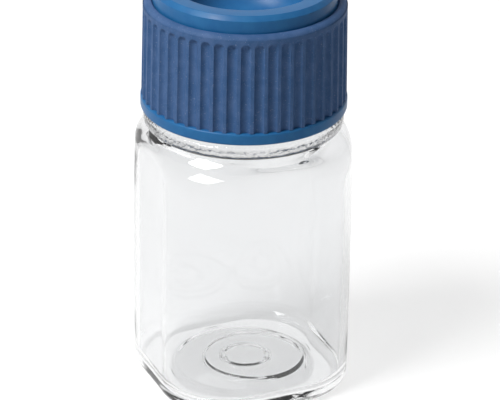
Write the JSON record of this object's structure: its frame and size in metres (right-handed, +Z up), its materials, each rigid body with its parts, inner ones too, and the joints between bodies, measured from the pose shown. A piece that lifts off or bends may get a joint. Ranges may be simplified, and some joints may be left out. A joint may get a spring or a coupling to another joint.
{
  "type": "sample vial",
  "caption": "Small clear rounded-square vial with a blue screw cap in a ribbed grip sleeve; holds gold flakes, water and small finds.",
  "frame": {"origin": "centre of the ring that the base stands on, on the ground plane", "axes": "+Z up along the vial's axis, out of the neck; the bottle's flats face along X and Y"},
  "size_m": [0.03, 0.03, 0.0624],
  "materials": {
    "clear_bottle": "clear, polished",
    "cap_plastic": "smooth satin",
    "grip_rubber": "matte, soft touch",
    "liner_foam": "matte foam sheet"
  },
  "bodies": {
    "bottle": {"bottle": "clear_bottle"},
    "liner": {"sealing_liner": "liner_foam"},
    "cap": {"screw_cap": "cap_plastic", "grip_sleeve": "grip_rubber"}
  },
  "joints": [
    {"name": "cap_lift", "type": "slide", "parent": "bottle", "child": "liner", "axis": [0, 0, 1], "range_m": [0, 0.0128]},
    {"name": "cap_turn", "type": "hinge", "parent": "liner", "child": "cap", "pos_m": [0, 0, 0.0531], "axis": [0, 0, 1], "range_deg": [0, 1440]}
  ],
  "couplings": [
    {"joint": "cap_lift", "follows": "cap_turn", "m_per_rad": 0.00050532}
  ]
}
